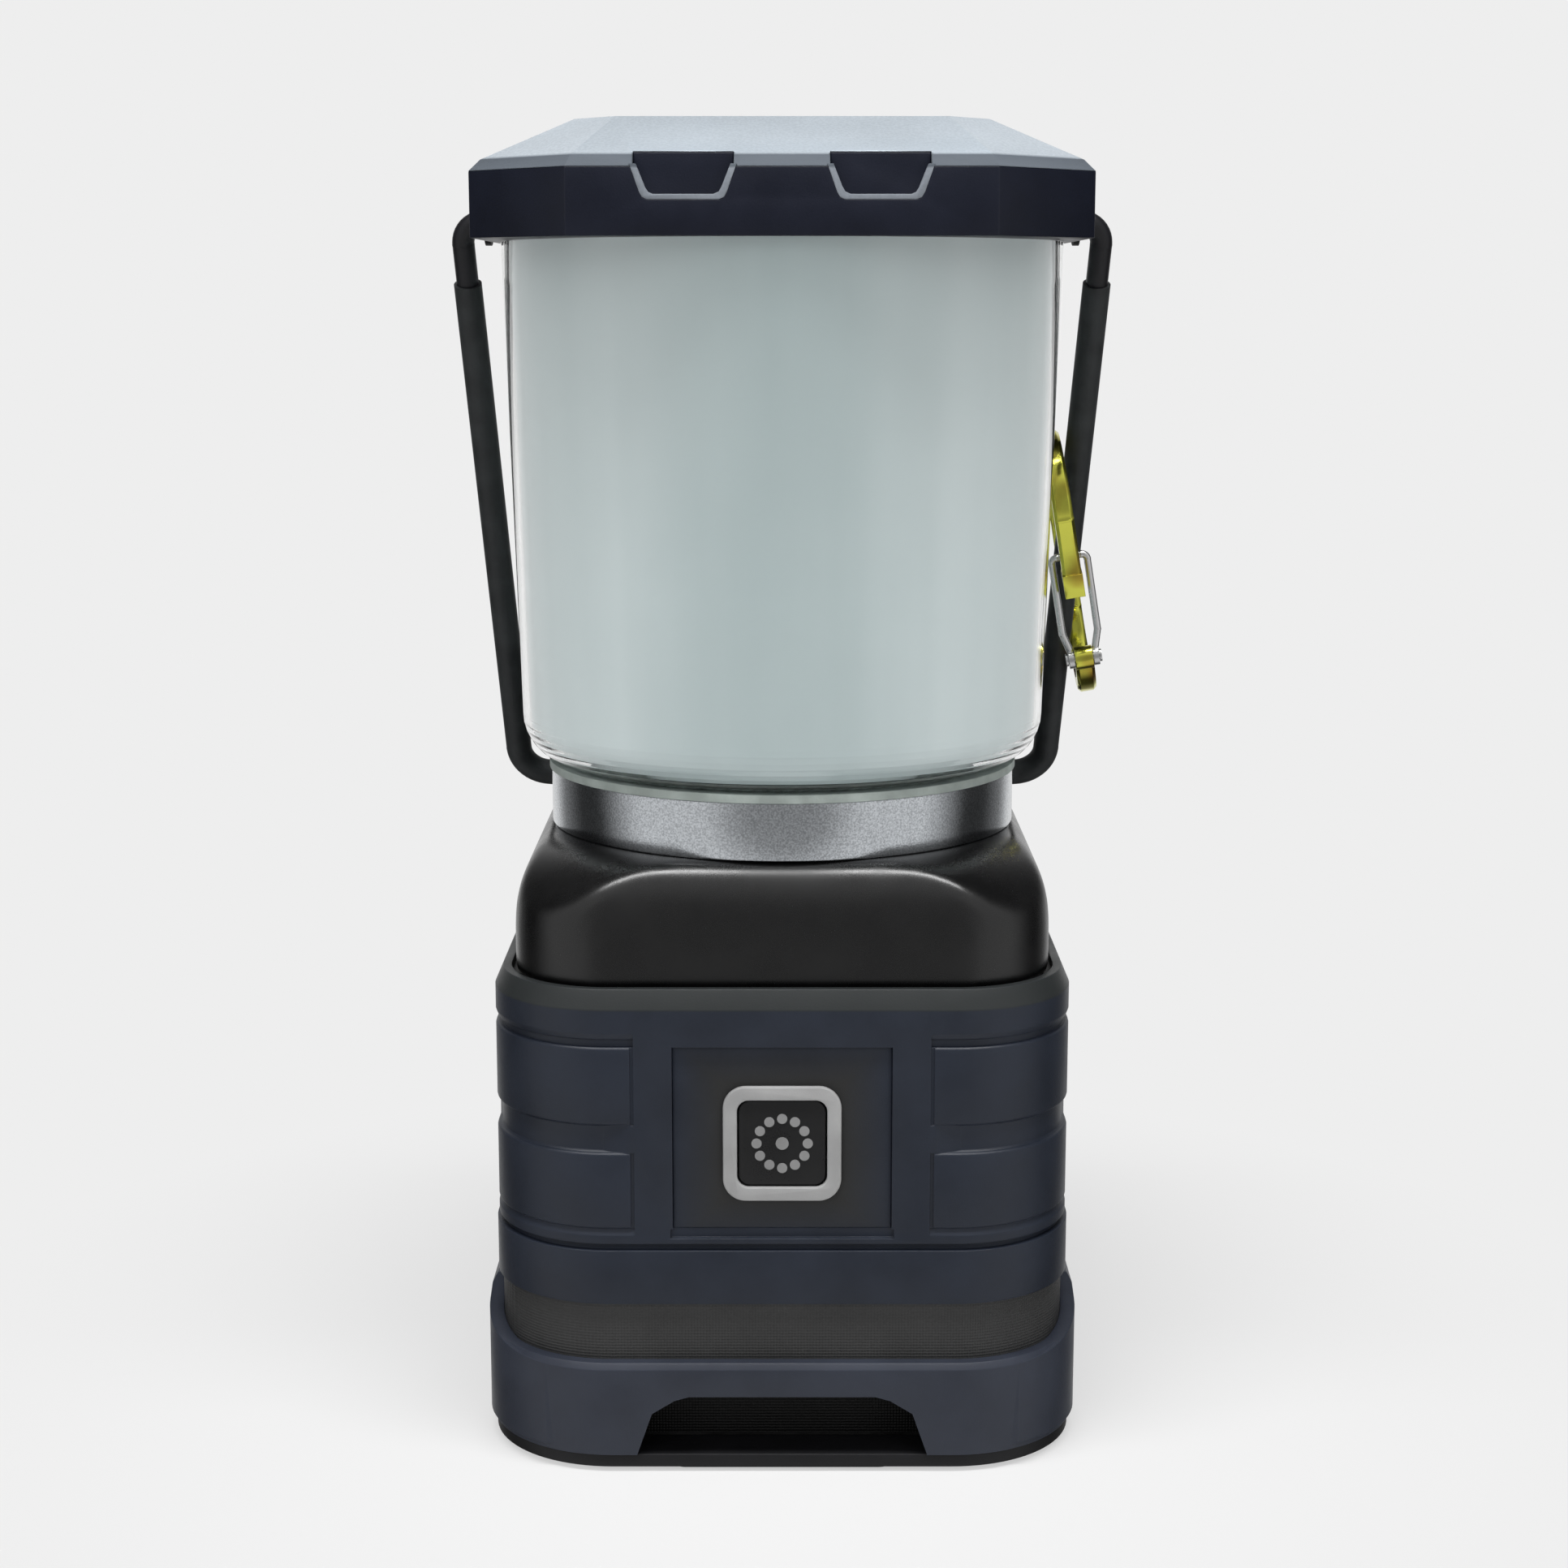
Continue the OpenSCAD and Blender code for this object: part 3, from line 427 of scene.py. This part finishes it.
NAVY = (0.0145, 0.0185, 0.029)
FINISHES = {
    "dark_plastic": moulded("dark_plastic", (0.009, 0.009, 0.0095), rough=0.3,
                            grain=0.28 * MM, depth=0.01 * MM),
    "black_plastic": moulded("black_plastic", (0.006, 0.006, 0.007), rough=0.5),
    "cap_navy": moulded("cap_navy", (0.003, 0.0045, 0.012), rough=0.4, grain=0.3 * MM),
    # the strip's colour is painted shade and the outlines' colour painted light
    "cap_silver": speckled_silver("cap_silver", (0.48, 0.54, 0.595),
                                  strip_painted_shade=(0.072, 0.086, 0.105),
                                  outline_painted_light=(0.2, 0.22, 0.25)),
    "ring_grey": moulded("ring_grey", (0.31, 0.31, 0.31), rough=0.45),
    "icon_grey": moulded("icon_grey", (0.22, 0.22, 0.22), rough=0.5, edge=0),
    "neck_silver": sparkling_ring("neck_silver", (0.62, 0.65, 0.68)),
    "seal_rubber": rubber("seal_rubber", (0.3, 0.34, 0.32)),
    "black_rubber": rubber("black_rubber", (0.012, 0.014, 0.015)),
    "globe_clear": clear_globe("globe_clear", (0.985, 0.998, 0.995)),
    "diffuser_opal": opal("diffuser_opal", (0.6, 0.7, 0.71), side_light_colour=(0.91, 0.99, 1.0)),
    "white_plastic": moulded("white_plastic", (0.8, 0.8, 0.78), rough=0.5, mottle=0.03),
    "board_green": moulded("board_green", (0.02, 0.1, 0.04), rough=0.35),
    "led_yellow": moulded("led_yellow", (0.85, 0.7, 0.2), rough=0.25, mottle=0.05),
    "steel": metal("steel", (0.6, 0.6, 0.6), rough=0.28),
    "black_steel": moulded("black_steel", (0.007, 0.007, 0.009), grain=0.2 * MM, edge=0),
    "column_aluminium": metal("column_aluminium", (0.75, 0.75, 0.77), rough=0.35),
    "brass": metal("brass", (0.66, 0.66, 0.1), rough=0.16, depth=0.003 * MM,
                   stain=(0.34, 0.2, 0.03)),
    "cell_can": metal("cell_can", (0.5, 0.36, 0.14), rough=0.35),
    "lead_red": rubber("lead_red", (0.35, 0.02, 0.02), rough=0.4),
}
# pieces that differ from the rest of their slot
OWN_FINISHES = {
    "door_seal": rubber("door_seal", (0.006, 0.006, 0.006)),
    "upper_housing": moulded("shoulder_black", (0.0035, 0.0035, 0.0037), shine=0.5, rough=0.28,
                             depth=0.005 * MM, edge=0),
    "grip_sleeve": moulded("navy_sleeve", NAVY, grain=0.3 * MM,
                           second=((0.019, 0.0215, 0.022), above(SLEEVE_RIM))),
    "base_bumper": moulded("navy_bumper", (0.026, 0.0305, 0.044), grain=0.3 * MM),
    # below the bumper's top the band is painted near-black: painted shade where it sits inside the
    # bumper
    "lower_housing": moulded("dark_band", (0.032, 0.032, 0.032), rough=0.5, weave=1.0 * MM,
                             depth=0.08 * MM,
                             second=((0.0015, 0.0015, 0.0015), below(BUMPER_TOP))),
    "switch_panel": moulded("switch_panel", NAVY, second=((0.02, 0.02, 0.02), around_button)),
}


def finish_of(node):
    return OWN_FINISHES.get(node) or FINISHES[SLOT_OF[node]]


def finish_nodes():
    for node, part in NODES.items():
        part.data.materials.clear()
        part.data.materials.append(finish_of(node))


# ---------- pieces ----------

WELD = 0.0005 * MM
FLAT_WITHIN = 0.3                     # degrees, as the next two
EASED_FROM = 16
SHARP_FROM = 25
EASING_STEPS = 3
SKIN_VOXEL = 0.7 * MM
FLOW_ROUNDS = 24
# radius of the rounded edges, in mm
EASED = {
    "cap_body": 0.3, "top_plate": 0.2, "grip_sleeve": 0.3, "base_bumper": 0.35,
    "button_ring": 0.3, "button_cap": 0.3, "neck_ring": 0.25, "carabiner_body": 0.35,
    "switch_panel": 0.2, "base_plate": 0.4,
}


def stand_in(node, name, mesh):
    """Puts a finished mesh in the scene in place of a CAD node."""
    mesh.materials.append(finish_of(node))
    piece = placed(name, mesh)
    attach(piece, BODY_OF[node])
    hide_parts(node)
    return piece


def welded(node):
    """A copy of a CAD node's mesh with its loose triangles joined and its flat faces made whole."""
    work = bmesh.new()
    work.from_mesh(NODES[node].data)
    bmesh.ops.remove_doubles(work, verts=work.verts, dist=WELD)
    bmesh.ops.dissolve_limit(work, angle_limit=math.radians(FLAT_WITHIN), verts=work.verts,
                             edges=work.edges)
    return work


def add_eased(node, radius):
    """Puts in a CAD node with its sharp edges rounded."""
    work = welded(node)
    least = math.radians(EASED_FROM)
    edges = [edge for edge in work.edges if edge.is_manifold and edge.calc_face_angle(0) > least]
    bmesh.ops.bevel(work, geom=edges, offset=radius, offset_type="OFFSET", affect="EDGES",
                    segments=EASING_STEPS, profile=0.5, material=-1, clamp_overlap=True)
    name = node + "_eased"
    mesh = mesh_of(work, name)
    mesh.shade_smooth()
    mesh.set_sharp_from_angle(angle=math.radians(SHARP_FROM))
    stand_in(node, name, mesh)


def add_shoulder():
    """Puts in the shoulder housing with its dome flowing into its walls."""
    node, name = "upper_housing", "shoulder_shell"
    piece = stand_in(node, name, mesh_of(welded(node), name))
    skin = piece.modifiers.new("skin", "REMESH")
    skin.mode = "VOXEL"
    skin.voxel_size = SKIN_VOXEL
    skin.use_smooth_shade = True
    flow = piece.modifiers.new("flow", "SMOOTH")
    flow.factor = 0.5
    flow.iterations = FLOW_ROUNDS


# ---------- floor and studio ----------

BACKGROUND = 0.855
FLOOR_HALF = 6
FLOOR_GREY = 0.85
# the floor and its shadow show most up to the first distance and are gone by the second
SHADOW_REACH = (0.05, 0.17)
FLOOR_FADE = 0.6                      # the background's share up to the first distance
FILL_GREY = 0.05                      # what lights matt surfaces from all round
FILL_LIGHT = 0.42
# how bright the studio looks in glossy surfaces, from the camera's side (-1) to behind (1)
STUDIO = (
    (-1, 0.35), (-0.94, 0.38), (-0.79, 0.8), (-0.28, 0.85), (0, 0.3),
    (0.17, 0.04), (0.47, 0.04), (0.73, 0.25), (0.87, BACKGROUND),
)


def grey(light):
    return (light, light, light)


def make_floor():
    """A pale floor under the lantern's shadow, lost in the background and clear from below."""
    work = bmesh.new()
    bmesh.ops.create_grid(work, x_segments=1, y_segments=1, size=FLOOR_HALF)
    mesh = mesh_of(work, "floor")
    floor = placed("floor", mesh)
    floor.visible_glossy = False
    made = Finish("floor", Base_Color=grey(FLOOR_GREY), Roughness=0.9, Specular_IOR_Level=0.1)
    away = made.node("VectorMath", {"operation": "LENGTH"}, made.place, out="Value")
    fade = away.between(*SHADOW_REACH, FLOOR_FADE, 1) * made.seen_rays()
    backdrop = made.node("Emission", {}, grey(BACKGROUND), 1.0)
    above_floor = made.node("MixShader", {}, fade, Value(made, made.shader.outputs[0]), backdrop)
    underneath = made.node("NewGeometry", {}, out="Backfacing")
    whole = made.node("MixShader", {}, underneath, above_floor, made.node("BsdfTransparent", {}))
    made.plug(made.tree.nodes["Material Output"].inputs["Surface"], whole)
    mesh.materials.append(made.material)


def make_world():
    """The background that the camera and the globe see, the mirrored studio and a weak fill."""
    world = bpy.data.worlds.new("studio")
    world.use_nodes = True
    bpy.context.scene.world = world
    studio = Shading(world.node_tree)
    fill = world.node_tree.nodes["Background"]
    studio.plug(fill.inputs["Color"], grey(FILL_GREY))
    studio.plug(fill.inputs["Strength"], FILL_LIGHT)
    y = studio.parts(studio.node("TexCoord", {}, out="Generated"))[1]
    stops = [((1 + way) / 2, grey(light)) for way, light in STUDIO]
    walls = studio.node("ValToRGB", {"stops": stops}, y.between(-1, 1))
    mirrored = studio.node("Background", {}, walls, 1.0)
    backdrop = studio.node("Background", {}, grey(BACKGROUND), 1.0)
    glossy = studio.node("LightPath", {}, out="Is Glossy Ray")
    unseen = studio.node("MixShader", {}, glossy, Value(studio, fill.outputs[0]), mirrored)
    whole = studio.node("MixShader", {}, studio.seen_rays(), unseen, backdrop)
    studio.plug(world.node_tree.nodes["World Output"].inputs["Surface"], whole)


make_camera()
finish_nodes()
add_shoulder()
for node, radius in EASED.items():
    add_eased(node, radius * MM)
make_floor()
make_world()
for name, lamp in LAMPS.items():
    make_lamp(name, *lamp)
bpy.context.scene.view_settings.view_transform = "Standard"

bpy.context.view_layer.update()
